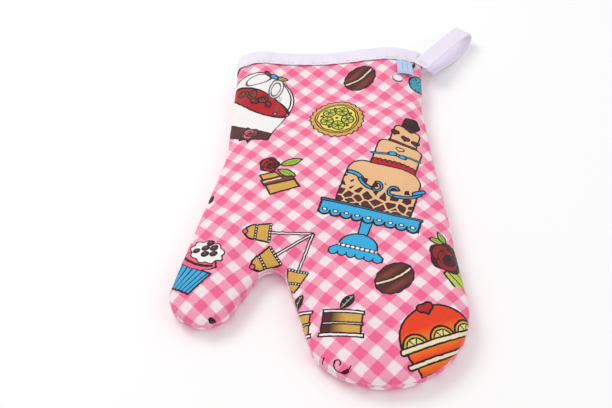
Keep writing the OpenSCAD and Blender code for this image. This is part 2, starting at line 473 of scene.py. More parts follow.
class Ink(Kit):
    """A material whose colour is drawn shape by shape, in millimetres of flat cloth."""

    def __init__(self, name):
        self.material = bpy.data.materials.new(name)
        self.material.use_nodes = True
        super().__init__(self.material.node_tree)
        self.nodes.clear()
        self.shader = self.node("BsdfPrincipled", {})
        self.node("OutputMaterial", {0: self.shader.outputs[0]})
        self.place = self.node("Attribute", {}, attribute_name="cloth").outputs["Vector"]
        self.pen = self.place
        self.colour = self.tone = None

    @contextmanager
    def on(self, pen):
        """Shapes are made on other coordinates for a while."""
        page, self.pen = self.pen, pen
        yield
        self.pen = page

    def local(self, x, y, angle=0, sx=1, sy=1):
        """Coordinates about (x, y), turned by angle in degrees and divided by the sizes."""
        turn = (0, 0, math.radians(angle))
        inputs = {"Vector": self.pen, "Location": (x, y, 0), "Rotation": turn, "Scale": (sx, sy, 1)}
        return self.node("Mapping", inputs, vector_type="TEXTURE").outputs[0]

    def along(self, step, start):
        """Coordinates that repeat every step along the first axis."""
        at = self.vec("SUBTRACT", self.pen, (start, 0, 0))
        return self.vec("WRAP", at, (step / 2, FAR, FAR), (-step / 2, -FAR, -FAR))

    def round_about(self, count):
        """Coordinates that repeat count times round the middle."""
        part = math.pi / count
        turn = self.math("WRAP", self.bearing(self.pen), part, -part)
        far = self.vec("LENGTH", self.pen)
        sides = [self.math("MULTIPLY", far, self.math(op, turn)) for op in ("COSINE", "SINE")]
        return self.node("CombineXYZ", dict(enumerate(sides))).outputs[0]

    def bearing(self, q):
        u, v = self.split(q)
        return self.math("ARCTAN2", v, u)

    def past(self, q, x, y):
        """How far q is beyond x and y, to either side."""
        return self.vec("SUBTRACT", self.vec("ABSOLUTE", q), (x, y, 0))

    # signed distances, below 0 inside
    def circle(self, x, y, r):
        return self.grow(self.vec("DISTANCE", self.pen, (x, y, 0)), r)

    def ellipse(self, x, y, rx, ry, angle=0):
        size = min(rx, ry)
        return self.times_plus(self.vec("LENGTH", self.local(x, y, angle, rx, ry)), size, -size)

    def box(self, x, y, wx, wy, angle=0):
        """A rectangle of full size wx by wy."""
        return self.math("MAXIMUM", *self.split(self.past(self.local(x, y, angle), wx / 2, wy / 2)))

    def rounded(self, x, y, wx, wy, r, angle=0):
        """A rectangle of full size wx by wy with round corners."""
        q = self.past(self.local(x, y, angle), wx / 2 - r, wy / 2 - r)
        return self.grow(self.vec("LENGTH", self.vec("MAXIMUM", q, (0, 0, 0))), r)

    def line(self, ax, ay, bx, by, w):
        angle = math.degrees(math.atan2(by - ay, bx - ax))
        length = math.hypot(bx - ax, by - ay)
        return self.rounded((ax + bx) / 2, (ay + by) / 2, length + w, w, w / 2, angle)

    def half(self, x, y, angle):
        """Everything behind the line through (x, y) that faces angle."""
        c, s = polar(1, angle)
        return self.grow(self.vec("DOT_PRODUCT", self.pen, (c, s, 0)), x * c + y * s)

    def above(self, d, y):
        return self.both(d, self.half(0, y, -90))

    def arc(self, x, y, r, middle, spread, w):
        """A stroke along a circle, spread degrees to each side of its middle direction."""
        q = self.local(x, y, middle)
        ring = self.grow(self.math("ABSOLUTE", self.grow(self.vec("LENGTH", q), r)), w / 2)
        turn = self.math("ABSOLUTE", self.bearing(q))
        return self.both(ring, self.times_plus(turn, r, -r * math.radians(spread)))

    def flower(self, x, y, r, lobes, depth, angle=0, squeeze=1):
        """A round shape with a lobed rim."""
        q = self.local(x, y, angle, 1, squeeze)
        wave = self.math("COSINE", self.math("MULTIPLY", self.bearing(q), lobes))
        return self.grow(self.vec("LENGTH", q), self.times_plus(wave, depth, r))

    def leaf(self, ax, ay, bx, by, w):
        """A pointed leaf from a to b: where two circles meet."""
        length = math.hypot(bx - ax, by - ay)
        r = (length**2 / 4 + w**2 / 4) / w
        mx, my = (ax + bx) / 2, (ay + by) / 2
        k = (r - w / 2) / length
        nx, ny = -(by - ay) * k, (bx - ax) * k
        return self.both(self.circle(mx + nx, my + ny, r), self.circle(mx - nx, my - ny, r))

    def poly(self, *corners):
        """A convex shape from its corners, in order."""
        cx, cy = np.mean(corners, axis=0)
        sides = []
        for (ax, ay), (bx, by) in zip(corners, corners[1:] + corners[:1]):
            angle = math.degrees(math.atan2(ax - bx, by - ay))
            if (cx - ax) * (by - ay) + (cy - ay) * (ax - bx) > 0:
                angle += 180
            sides.append(self.half(ax, ay, angle))
        return self.both(*sides)

    def stones(self, scale):
        """Rounded pebbles side by side."""
        looks = {"feature": "DISTANCE_TO_EDGE", "voronoi_dimensions": "2D"}
        n = self.node("TexVoronoi", {"Scale": scale, "Vector": self.pen}, **looks)
        return self.times_plus(n.outputs["Distance"], -1 / scale, 0.95)

    def both(self, *ds):
        return reduce(lambda a, b: self.math("MAXIMUM", a, b), ds)

    def either(self, *ds):
        return reduce(lambda a, b: self.math("MINIMUM", a, b), ds)

    # painting
    def fill(self, d, colour=DARK, soft=0.18):
        mask = self.times_plus(d, -1 / soft, 0.5, clamp=True)
        self.colour = self.mix(mask, self.colour, colour)

    def stroke(self, d, w=0.5, colour=DARK):
        self.fill(self.grow(self.math("ABSOLUTE", d), w * PEN_WIDTH / 2), colour)

    def draw(self, d, colour, w=0.5, line=DARK):
        """Fills a shape and outlines it."""
        self.fill(d, colour)
        self.stroke(d, w, line)


# --- Cloths ---

DEEP_PINK = (246, 105, 150)
MID_PINK = (246, 159, 186)
PLAIN_WHITE = (248, 229, 231)
CHECK = 12.7
CHECK_ANGLE = -46.4
CHECK_AT = (-18.2, 101.8)
CHECK_SHARP = 22


def gingham_group():
    """Node group: the printed checks, the cloth's fine weave and a tone of painted shade between its
    threads, from flat cloth coordinates.
    """
    tree = bpy.data.node_groups.new("gingham", "ShaderNodeTree")
    sockets = [("Place", "Vector"), ("Colour", "Color"), ("Pen", "Vector")]
    for name, kind in sockets + [("Height", "Float"), ("Tone", "Float")]:
        side = "INPUT" if name == "Place" else "OUTPUT"
        tree.interface.new_socket(name, in_out=side, socket_type="NodeSocket" + kind)
    kit = Kit(tree)
    place = tree.nodes.new("NodeGroupInput").outputs[0]
    result = tree.nodes.new("NodeGroupOutput")
    # hand-drawn edges: the pen strays a little
    stray = kit.vec("SUBTRACT", kit.noise(place, 0.35, 1, colour=True), (0.5, 0.5, 0.5))
    pen = kit.vec("ADD", place, kit.vec("MULTIPLY", stray, (0.9, 0.9, 0)))
    bands = []
    for angle, flip in ((CHECK_ANGLE, 1), (90 - CHECK_ANGLE, -1)):
        x, y = polar(1 / CHECK, angle)
        across = kit.vec("DOT_PRODUCT", pen, (x, y * flip, 0))
        # 0 at the middle of a white band, 0.5 at the middle of a pink one
        middle = CHECK_AT[0] * x + CHECK_AT[1] * y * flip
        step = kit.math("PINGPONG", kit.grow(across, middle), 0.5)
        bands.append(kit.times_plus(step, CHECK_SHARP, 0.5 - CHECK_SHARP / 4, clamp=True))
    threads = kit.math("ADD", *bands)
    pale = kit.mix(kit.math("MINIMUM", threads, 1), PLAIN_WHITE, MID_PINK)
    checks = kit.mix(kit.math("SUBTRACT", threads, 1, clamp=True), pale, DEEP_PINK)
    slubs = kit.math("ADD", kit.slub(place, 0.25, 2.2), kit.slub(place, 2.2, 0.25))
    woven = kit.woven(place, (0.62, 0.66), 0.6, 0.4)
    grain = kit.math("ADD", slubs, kit.math("MULTIPLY", woven, 0.5))
    worn = kit.times_plus(kit.noise(place, 0.045, 3, 0.6), 0.10, 0.95)
    # tone: painted shade, darker where the weave lies low, times a random unevenness of the cloth
    # (worn)
    tone = kit.math("MULTIPLY", kit.times_plus(grain, 0.24, 0.71), worn)
    for k, value in enumerate((checks, pen, grain, tone)):
        kit.put(result.inputs[k], value)
    return tree


GINGHAM = gingham_group()


def printed(name):
    """Starts a printed cotton material: gingham first, motifs on top."""
    ink = Ink(name)
    base = ink.node("Group", {}, node_tree=GINGHAM)
    ink.put(base.inputs[0], ink.place)
    ink.colour, ink.pen, ink.height, ink.tone = base.outputs
    return ink


def cotton(ink, bump=0.25, rough=0.85):
    """Finishes a cloth material: colour, weave relief and a soft fibre sheen."""
    relief = ink.node("Bump", {"Strength": bump, "Distance": 0.25 * MM, "Height": ink.height})
    # the tone, where given, is painted shade between the threads with a random unevenness
    looks = {
        "Base Color": ink.vec("SCALE", ink.colour, Scale=ink.tone) if ink.tone else ink.colour,
        "Roughness": rough,
        "Specular IOR Level": 0.25,
        "Sheen Weight": 0.25,
        "Sheen Roughness": 0.5,
        "Normal": relief.outputs[0],
    }
    for name, value in looks.items():
        ink.put(ink.shader.inputs[name], value)
    return ink.material


def plain_cloth(name, light, shade, thread=0.5, bump=0.3):
    """An unprinted cloth: woven threads, slubs and soft unevenness of tone."""
    ink = Ink(name)
    woven = ink.woven(ink.place, (thread, thread), 0.8)
    ink.height = ink.math("ADD", ink.slub(ink.place, 0.3, 2), ink.math("MULTIPLY", woven, 0.7))
    cloudy = ink.times_plus(ink.noise(ink.place, 0.12, 3, 0.55), 0.5, -0.1)
    tone = ink.times_plus(ink.height, 0.35, cloudy, clamp=True)
    ink.colour = ink.mix(tone, shade, light)
    return cotton(ink, bump)


PLAIN_PRINT = cotton(printed("cotton_print"))
COTTON_BACK = plain_cloth("cotton_reverse", (248, 222, 230), (236, 200, 212))
WADDING = plain_cloth("wadding", (246, 245, 240), (226, 224, 216), 1.4, 0.5)
CALICO = plain_cloth("calico", (250, 249, 246), (232, 229, 222), 0.45)
TAPE = plain_cloth("tape", (250, 243, 254), (233, 224, 242), 0.42, 0.4)
THREAD = plain_cloth("sewing_thread", (252, 250, 250), (226, 222, 226), 0.3)


def satin_label():
    """Blank satin with woven border lines."""
    ink = Ink("satin_label")
    ink.height = ink.slub(ink.place, 0.5, 5)
    cloudy = ink.math("MULTIPLY", ink.noise(ink.place, 0.16), 0.3)
    sheen = ink.times_plus(ink.height, 0.8, cloudy, clamp=True)
    ink.colour = ink.mix(sheen, (168, 192, 232), (198, 216, 246))
    border = (140, 172, 222)
    for y in (-LABEL_LEN + 1.6, -LABEL_LEN + 2.6, -2.6):
        ink.fill(ink.box(0, y, LABEL_W, 0.35), border, 0.3)
    for x in (-1.6, 1.6):
        ink.fill(ink.box(x, -LABEL_LEN / 2, 0.7, LABEL_LEN * 0.5), border, 0.6)
    return cotton(ink, 0.12, 0.45)


# --- Motifs: plain drawings of sweets, each in its own frame, in millimetres ---

CHOCOLATE = (84, 36, 34)
COCOA = (128, 64, 50)
BISCUIT = (216, 168, 78)
LEMON = (240, 222, 92)
LIME = (184, 196, 66)
LEAF = (156, 190, 62)
RED = (186, 28, 40)
WINE = (104, 20, 30)
PEACH = (238, 188, 140)
SKY = (52, 174, 226)
ICING = (246, 240, 238)
ROSY = (240, 96, 132)
TANGERINE = (246, 122, 24)
FLAME = (236, 64, 26)
CREAM = (240, 226, 190)
GREY = (96, 92, 98)


def rose(ink, x, y, r, colour, deep):
    """A round rose: outer petals, inner petals turned between them, and a dark heart."""
    ink.draw(ink.flower(x, y, r * 0.94, 5, 0.07 * r), deep)
    for ring, (far, size, start) in enumerate(((0.42, 0.56, 20), (0.20, 0.42, 75))):
        for k in range(3):
            turn = start + 120 * k
            px, py = polar(far * r, turn)
            petal = ink.ellipse(x + px, y + py, size * r, size * r * 0.8, turn + 90)
            ink.draw(petal, colour if (k + ring) % 3 else deep, 0.4)
    ink.fill(ink.circle(x, y, r * 0.2))
    ink.fill(ink.arc(x, y, r * 0.34, 200, 70, 0.35))


def veined_leaf(ink, ax, ay, bx, by, w, colour=LEAF):
    ink.draw(ink.leaf(ax, ay, bx, by, w), colour, 0.6)
    ink.fill(ink.line(ax, ay, ax + 0.75 * (bx - ax), ay + 0.75 * (by - ay), 0.35))


def heart(ink, x, y, size, colour, w=0.5):
    """A heart, size across each lobe."""
    lobes = ink.either(*(ink.circle(x + s * size / 2, y, size * 0.62) for s in (-1, 1)))
    point = ink.box(x, y - size * 0.28, size * 1.25, size * 1.25, 45)
    ink.draw(ink.either(lobes, point), colour, w)


def macaron(ink):
    body = ink.flower(0, 0, 12.6, 13, 0.2, 10, 0.76)
    ink.fill(body, CHOCOLATE)
    for y in (4.6, -5.2):
        ink.fill(ink.ellipse(-1, y, 8, 1.7, 4), COCOA, 2.6)
    ink.stroke(body, 0.6)
    ink.draw(ink.arc(3, 34, 34.4, -94.6, 20, 1.9), CREAM)


def tart(ink):
    """A fluted crust with five slices of lime and berries between them."""
    ink.draw(ink.flower(0, 0, 17.6, 24, 0.5), BISCUIT, 0.6)
    ink.stroke(ink.circle(0, 0, 14.4), 0.45)
    ink.draw(ink.flower(0, 0, 12.9, 9, 0.3), LEMON)
    with ink.on(ink.round_about(5)):
        ink.draw(ink.circle(7.2, 0, 4.1), (216, 208, 74), 0.6, (48, 54, 20))
        ink.fill(ink.circle(7.2, 0, 2.8), LIME, 0.6)
        for angle in (0, 60, 120):
            x, y = polar(3.2, angle)
            ink.fill(ink.line(7.2 - x, -y, 7.2 + x, y, 0.7), (56, 64, 24))
    with ink.on(ink.local(0, 0, 36)), ink.on(ink.round_about(5)):
        ink.draw(ink.circle(9.9, 0, 0.9), COCOA, 0.4)
    ink.draw(ink.circle(0, 0, 0.8), COCOA, 0.4)


def cake_stand(ink):
    with ink.on(ink.along(5.5, 2.75)):
        frilled = ink.either(ink.circle(0, -37.2, 2.9), ink.half(0, -37.2, -90))
    left = [(-12.4, -32.6), (-16.6, -35.6), (-16.6, -41)]
    skirt = ink.poly(*left, *((-x, y) for x, y in left[::-1]))
    ink.draw(ink.both(frilled, skirt), SKY, 0.6)
    ink.draw(ink.poly((-3.6, -8), (-2.4, -24), (2.8, -24), (3.8, -8)), SKY, 0.6)
    ink.draw(ink.above(ink.ellipse(0, -31.5, 11.8, 10.2), -31.4), SKY, 0.6)
    rail = ink.box(0, -32.2, 24, 2.7)
    with ink.on(ink.along(3, 0)):
        pearls = ink.ellipse(0, -32.2, 1.15, 0.9)
    ink.fill(rail)
    ink.fill(ink.both(pearls, ink.grow(rail, -0.2)), ICING, 0.3)
    # plate with a scalloped skirt and eyelets
    with ink.on(ink.along(6.9, 0)):
        scallop = ink.either(ink.circle(0, -8.2, 3.6), ink.half(0, -8.2, -90))
        eyelet = ink.ellipse(0, -7.6, 1.5, 1.1)
    ink.draw(ink.both(scallop, ink.box(0, -5.5, 62.4, 13)), SKY, 0.9)
    ink.draw(ink.both(eyelet, ink.box(0, -5.5, 60, 13)), ICING, 0.4)
    ink.draw(ink.box(0, 0.2, 64, 1.7), (38, 122, 160), 0.6)


def tiered_cake(ink):
    """Three tiers on a footed stand. The frame's middle is the middle of the plate."""
    cake_stand(ink)
    # lowest tier, dappled towards its foot
    low = ink.above(ink.rounded(0.4, 17, 47.5, 44, 9), 1.1)
    ink.fill(low, PEACH)
    stones = ink.stones(0.15)
    sparse = ink.times_plus(ink.split(ink.pen)[1], 0.11, -1)
    stones = ink.math("ADD", stones, ink.math("MAXIMUM", sparse, 0))
    ink.draw(ink.both(stones, ink.grow(low, 0.2), ink.half(0, 25, 90)), CHOCOLATE, 0.45)
    ink.stroke(low, 0.7)
    # scrolled ribbons
    for shape in (
        ink.arc(-20.2, 16.6, 11.2, 72, 30, 2.4),
        ink.arc(-2.4, 33.4, 14.4, -121, 22, 1.9),
        ink.arc(-1.6, 21.4, 2.9, -10, 130, 1.5),
        ink.arc(9.2, 20.2, 3.1, 160, 130, 1.7),
        ink.arc(11.4, 36.6, 19.6, -68, 27, 1.9),
        ink.line(21.8, 22.4, 27.2, 26.2, 2.4),
    ):
        ink.draw(shape, SKY, 0.6)
    # middle tier
    ink.draw(ink.above(ink.rounded(3.9, 48, 30, 27, 4.5), 39.6), PEACH, 0.7)
    with ink.on(ink.along(3.2, 0.6)):
        frill = ink.either(ink.circle(0, 42, 1.7), ink.half(0, 42, 90))
    ink.draw(ink.both(frill, ink.box(3.9, 41.4, 30.2, 5.6)), RED, 0.6)
    ink.draw(ink.line(-12.5, 47.6, 19.4, 51.8, 1.3), SKY)
    for x, y, angle in ((0.4, 50.2, 14), (7.4, 49.4, -6)):
        ink.draw(ink.ellipse(x, y, 2.8, 1.7, angle), SKY)
    ink.draw(ink.circle(4, 49.8, 0.9), SKY)
    heart(ink, 4.2, 56.2, 2.4, PEACH)
    # top tier
    top = ink.above(ink.rounded(4.7, 68, 18.4, 20, 3.6), 62.8)
    ink.draw(top, PEACH, 0.7)
    for x, y in ((-2.8, 71.2), (5.2, 69.2), (12.4, 68.2)):
        heart(ink, x, y, 2.6, CHOCOLATE)
    ink.stroke(top, 0.6)
    with ink.on(ink.along(1.9, 0.3)):
        beads = ink.circle(0, 62.6, 0.95)
    ink.draw(ink.both(beads, ink.box(4.5, 62.6, 19, 3)), COCOA)
    rose(ink, 5.4, 82.6, 6.4, CHOCOLATE, (52, 22, 24))


BERRIES = [
    (-2.4, 21.2, 2.0),
    (-2.6, 16.4, 2.2),
    (2.4, 18.6, 2.3),
    (-6.4, 12.4, 1.9),
    (0.6, 12.0, 2.2),
    (5.4, 14.2, 2.1),
]


def cupcake(ink):
    """Berries on white icing, pink icing under it, a striped paper case."""
    case = ink.poly((-13.4, 0.6), (-7.6, -17), (10.4, -17), (13.8, 0.6))
    ink.fill(case, SKY)
    x, y = ink.split(ink.pen)
    fan = ink.math("DIVIDE", x, ink.times_plus(y, 0.021, 1))
    ink.fill(ink.both(ink.grow(ink.math("PINGPONG", fan, 1.95), 0.52), case))
    ink.stroke(case, 0.8)
    ink.draw(ink.flower(-0.6, 5.6, 13.6, 11, 0.35, 3, 0.42), ROSY, 0.8)
    ink.fill(ink.arc(-0.6, 32, 28.6, -90, 24, 1.7))
    ink.draw(ink.flower(0.6, 14, 11.8, 9, 0.8, -8, 0.7), ICING, 0.7)
    for x, y, r in BERRIES:
        ink.draw(ink.circle(x, y, r), (66, 30, 44), 0.6)
        ink.fill(ink.circle(x - 0.6, y + 0.6, 0.5), (150, 110, 120), 0.5)


def petit_four(ink):
    """A small layered cake with a rose and two leaves."""
    veined_leaf(ink, 3, 10.5, 17, 14.6, 5.6)
    veined_leaf(ink, 1, 6.4, 12.4, 0.2, 5.6)
    ink.draw(ink.poly((-10.4, 2.6), (-8.4, -2), (3, 0.6), (-0.6, 4.6)), BISCUIT, 0.7)
    slab = ink.poly((-9.6, -2.2), (-7.8, -6.8), (11.6, -2.2), (10.2, 0.4), (2.4, 0.8))
    ink.draw(slab, COCOA, 0.7)
    ink.fill(ink.line(-8, -3.6, 2.6, -0.8, 1), CREAM)
    ink.draw(ink.poly((-7.2, -6.4), (-4.2, -14.2), (14.4, -8.6), (11.4, -2.4)), BISCUIT, 0.8)
    rose(ink, -4.2, 11.2, 6.6, RED, WINE)


def cake_pop(ink):
    """A dipped cake on a stick that starts at the frame's middle."""
    ink.draw(ink.box(13, 0, 26, 1.5), ICING)
    tip = ink.both(ink.ellipse(34, 0, 7.4, 5.2), ink.half(33, 0, 180))
    ink.draw(tip, BISCUIT, 0.7)
    ink.draw(ink.circle(41, 0, 1.6), ROSY)
    ink.draw(ink.poly((26.4, -6.6), (34.4, -5.2), (34.4, 5.2), (26.4, 6.6)), BISCUIT, 0.7)
    for x, reach in ((26.2, 13.2), (34.6, 10.6)):
        band = ink.box(x, 0, 1.9, reach)
        with ink.on(ink.local(0, 0, 90)), ink.on(ink.along(1.9, 0)):
            dots = ink.circle(0, -x, 0.42)
        ink.fill(band)
        ink.fill(ink.both(dots, ink.grow(band, 0.2)), ICING)


def cake_pops(ink):
    for angle in (172, 206, 245):
        with ink.on(ink.local(0, 0, angle)):
            cake_pop(ink)


def layer_slice(ink):
    """A slice of layer cake with a chocolate leaf."""
    slab = ink.box(0, 0.5, 22.6, 14)
    shade = ink.times_plus(ink.split(ink.pen)[0], 0.12, 0.75, clamp=True)
    ink.draw(slab, ink.mix(shade, CHOCOLATE, BISCUIT), 0.7)
    for y, wide, high in ((7.4, 23.6, 1.9), (-0.2, 23, 1.3), (-7.4, 25.6, 2.1)):
        ink.draw(ink.box(0.4, y, wide, high), ICING, 0.6)
    ink.fill(ink.leaf(-1.6, 8.6, 5.2, 19.2, 6.4), (40, 32, 28))
    veins = [(-0.8, 9.8, 4.4, 17.8, 0.5)]
    for t in (0.3, 0.55, 0.8):
        x, y = -1.6 + 6.8 * t, 8.6 + 10.6 * t
        veins.append((x - 1.2, y + 0.5, x + 0.2, y - 0.4, 0.35))
    for vein in veins:
        ink.fill(ink.line(*vein), (190, 186, 170))


def dome_cake(ink):
    """An orange dome with lemon slices round its foot and two cream layers under it."""
    up = ink.split(ink.pen)[1]
    for y, left in ((-14.6, -17.6), (-5, -20)):
        slab = ink.poly((left, y + 4.4), (left + 1.4, y - 3.4), (30, y - 3.4), (30, y + 4.4))
        glow = ink.times_plus(up, 0.18, 0.5 - 0.18 * y, clamp=True)
        ink.draw(slab, ink.mix(glow, FLAME, TANGERINE), 0.8)
    ink.draw(ink.rounded(2, -9.8, 48, 3, 1.4), CREAM, 0.7)
    glow = ink.times_plus(up, -0.16, 1.55, clamp=True)
    dome = ink.above(ink.ellipse(1.6, 0, 22.6, 21.4), 0)
    ink.draw(dome, ink.mix(glow, FLAME, TANGERINE), 0.8)
    for x in (-13, 3.6, 19):
        ink.draw(ink.above(ink.circle(x, 0.2, 7.2), 0.2), BISCUIT, 0.8)
        with ink.on(ink.local(x, 0.2, 90)), ink.on(ink.round_about(7)):
            wedges = ink.grow(ink.math("MULTIPLY", ink.split(ink.pen)[0], -1), 0.5)
            wedges = ink.both(ink.circle(0, 0, 5), wedges)
            pith = ink.poly((0.7, 0), (4.6, 1.8), (4.6, -1.8))
        ink.draw(ink.above(ink.circle(x, 0.2, 5.2), 0.2), DARK)
        ink.fill(ink.above(ink.both(pith, wedges), 0.6), (226, 214, 128))
    ink.draw(ink.rounded(1, -0.6, 47, 3.4, 1.6), CREAM, 0.7)
    heart(ink, 2.2, 20.8, 4.2, RED, 0.8)


def rose_cake(ink):
    """A big rose on a striped case that runs off the edge."""
    case = ink.poly((-4, -13), (6, -30), (26, -16), (8, 2))
    ink.fill(case, (186, 206, 72))
    fold = ink.math("PINGPONG", ink.split(ink.local(0, 0, 40))[0], 2.1)
    ink.fill(ink.both(ink.grow(fold, 0.4), case))
    ink.stroke(case, 0.8)
    veined_leaf(ink, 0.4, 10, -3.4, 19, 4.4)
    veined_leaf(ink, -1, 9.6, -9.6, 12.8, 4.2)
    rose(ink, 0, -0.6, 11.6, (150, 26, 34), (76, 16, 24))


SWEETS = [(-12.4, 0.8, 3.6), (3.8, 1.6, 3.4), (-5.4, 2.2, 4.2), (9, -0.6, 2.6), (-1, -2.2, 3)]


def gift_cake(ink):
    """A white domed cake tied with a bow, a red band of sweets across it and a dark foot."""
    foot = [(-40, -24.8), (-40, -34.6), (12, -36.8), (28.4, -32), (27.4, -24.8)]
    ink.draw(ink.poly(*foot), CHOCOLATE, 0.6)
    ink.draw(ink.poly((-40, -2), (-40, -26), (27.6, -25.4), (25.2, -2)), ICING)
    ink.draw(ink.above(ink.circle(0.4, -1, 25), -2), ICING, 0.6)
    ink.stroke(ink.arc(-1.6, -1.4, 25, 35, 36, 0.3), 0.45)
    band = ink.both(ink.ellipse(1.4, -1.2, 24, 8.4, -4), ink.circle(0.4, -1, 25.4))
    ink.draw(band, RED, 0.7)
    for x, y, r in SWEETS:
        ink.draw(ink.flower(x, y, r, 5, 0.3, 12 * x, 0.8), COCOA, 0.6)
        ink.fill(ink.arc(x, y, r * 0.45, 30 * x, 110, 0.8))
    # ribbon loops and tails
    ink.draw(ink.ellipse(-8.6, 15.4, 9, 4.2, 46), ICING, 0.5, GREY)
    ink.draw(ink.ellipse(6.2, 15, 4.4, 9.6, 14), ICING, 0.5, GREY)
    ink.stroke(ink.ellipse(6.2, 14.4, 2.8, 6.8, 14), 0.4, GREY)
    for x in (12, 13.2):
        ink.fill(ink.line(x, 10, x + 4.4, -5, 0.4), GREY)
    ink.draw(ink.circle(17.2, -5.4, 1.5), ROSY)
    ink.draw(ink.circle(25, -2.6, 1.3), ROSY)
    veined_leaf(ink, 0, 24, 8, 27.6, 3.6)
    ink.draw(ink.ellipse(-5.6, 23.6, 2.6, 1.6, -24), COCOA)
    ink.draw(ink.ellipse(-1, 24.2, 2.8, 2.1, 20), SKY, 0.6)
    # rose on the foot
    for x, y in ((8, -24.6), (20.6, -25.6), (9.4, -38.2), (16.6, -38.4)):
        veined_leaf(ink, 13.6, -30.4, x, y, 3.2, (46, 34, 32))
    rose(ink, 13.6, -30.4, 6, (226, 110, 134), (156, 52, 74))


def dotted_ball(ink):
    """A blue ball with dark speckles, cut by the edge."""
    ball = ink.circle(0, 0, 7.6)
    ink.fill(ball, (60, 166, 192))
    ink.fill(ink.both(ink.grow(ink.stones(0.4), 0.25), ball))
    ink.stroke(ball, 0.7)


def button_sweet(ink):
    """A small white sweet with a dark curve and two strokes beside it."""
    ink.draw(ink.ellipse(0, 0, 3.6, 3.1), ICING, 0.35, (150, 140, 150))
    ink.fill(ink.arc(0, 0, 3.5, -110, 70, 0.9))
    ink.fill(ink.arc(10, 17, 12, -60, 34, 0.6))
    ink.fill(ink.leaf(12.4, 12, 15, 19, 2.2))


def ribbon_end(ink):
    """A scrap of white ribbon under the binding."""
    ink.draw(ink.poly((-20, 4.6), (-20, -3.2), (2.6, -3.2), (4.6, 1.4), (1.6, 4.6)), ICING, 0.6)


def curl(ink):
    """A loose pen curl."""
    ink.fill(ink.arc(0, 0, 4.2, -130, 100, 0.9))
    ink.fill(ink.arc(-1.6, 1.8, 1.6, 60, 130, 0.8))
    ink.fill(ink.ellipse(2, -4, 2.6, 1.3, 20))
    ink.fill(ink.line(3.6, -3.6, 5.4, -0.8, 0.7))
    ink.fill(ink.line(-12, 1.8, -9, 5.6, 0.8))


def seed(ink):
    """A dark speck at the edge."""
    ink.fill(ink.ellipse(0, 0, 2, 3.4, -20))


# each motif with the boxes it fills, in its own frame: left, bottom, right, top
REACH = {
    macaron: [(-14, -11, 14, 11)],
    tart: [(-19, -19, 19, 19)],
    tiered_cake: [(-18, -42, 18, -12), (-34, -13, 34, 45), (-17, 44, 23, 90)],
    cupcake: [(-17, -19, 17, 25)],
    petit_four: [(-13, -16, 19, 20)],
    cake_pops: [(-44, -41, 2, 18)],
    layer_slice: [(-14, -10, 14, 21)],
    dome_cake: [(-24, -24, 32, 32)],
    rose_cake: [(-12, -22, 26, 21)],
    gift_cake: [(-42, -42, 31, 31)],
    dotted_ball: [(-9, -9, 9, 9)],
    button_sweet: [(-6, -6, 6, 6), (8, 9, 24, 22)],
    ribbon_end: [(-22, -5, 6, 7)],
    curl: [(-14, -8, 8, 8)],
    seed: [(-4, -5, 4, 5)],
}

# where each one is printed: drawing, place on the flat cloth, and turn in degrees
FRONT_PRINT = [
    (gift_cake, -52, 76, -32),
    (macaron, 19.4, 93.2, 40),
    (tart, 1.2, 51.6, -15),
    (tiered_cake, 17.5, -31, -20),
    (petit_four, -40, 0, 0),
    (cake_pops, -19, -48.5, 0),
    (cupcake, -92, -66, -36),
    (macaron, 26.2, -84.6, 30),
    (layer_slice, -6, -112.8, -10),
    (layer_slice, -36, -107.5, -10),
    (dome_cake, 46, -126, 20),
    (rose_cake, 59.5, -68, 0),
    (button_sweet, 45.4, 91, 0),
    (dotted_ball, 60.6, 87.2, 0),
    (ribbon_end, -60, 112, -12),
    (curl, -8, -138, 0),
    (seed, -82.5, -10, 0),
    (seed, -79, -104, 60),
]
BACK_PRINT = [
    (tiered_cake, -26, 20, 8),
    (tart, 34, 74, 10),
    (cupcake, 44, -8, 12),
    (macaron, 12, 100, -24),
    (petit_four, 34, -58, -14),
    (dome_cake, -2, -104, -12),
    (macaron, -84, -68, 50),
    (layer_slice, 46, -112, 30),
]


def motif_materials(side, prints):
    """One print material for each motif, the plain gingham first."""
    out = [PLAIN_PRINT]
    for k, (drawing, x, y, turn) in enumerate(prints):
        ink = printed("print_%s_%02d_%s" % (side, k + 1, drawing.__name__))
        ink.pen = ink.local(x, y, turn)
        drawing(ink)
        out.append(cotton(ink))
    return out


def motif_slots(prints, centres):
    """Which material each face takes, from its middle on the flat cloth."""
    slots = np.zeros(len(centres), int)
    for k, (drawing, x, y, turn) in enumerate(prints):
        c, s = polar(1, turn)
        d = centres[:, :2] - [x, y]
        u, v = d @ [c, s], d @ [-s, c]
        for left, bottom, right, top in REACH[drawing]:
            slots[(u > left) & (u < right) & (v > bottom) & (v < top)] = k + 1
    return slots


# --- Panels ---

CLEAR = 0.02
PRESSED = 0.75
CLOTH_GRID = 5.6
FINE_GRID = 2.6
CLOTH_FRAMES = 20
CLOTH_QUALITY = 6
STIFFNESS = 20
SHRINK = -0.02
PRESSURE = 4
SPREAD = 3.2
# the simulated cloth is held fast this near the seam and above this height, and a little elsewhere
HELD_RIM = 2
HELD_Y = 98
HELD_SPAN = 8
HELD_INSIDE = 0.12
SLEEVE_SPAN = 1.5
# how far the simulation may move each side, and how deep its hidden layers lie
SETTLE_CAPS = {"front": 1.7, "back": 0.9}
BATTING_DEPTHS = (1.8, 4.9)
LINING_DEPTHS = (5.3, 5.7)


def across_fold(obj):
    """Bakes the piece's placement into its mesh."""
    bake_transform(obj)


def pressed(points):
    """How far the cloth is pressed in: only where it lies under the binding."""
    return PRESSED * smooth((points[:, 1] - (TUCK_Y - SLEEVE_SPAN)) / SLEEVE_SPAN)


def bounded(points, front, floor=CLEAR):
    """Keeps a layer on its own side of the seam, inside the fold of the binding and off the table."""
    low, high = (SEAM_Z + CLEAR, None) if front else (floor, SEAM_Z - CLEAR)
    x, y, z = points.T
    return np.column_stack([x, np.minimum(y, RAW_Y), np.clip(z, low, high)])


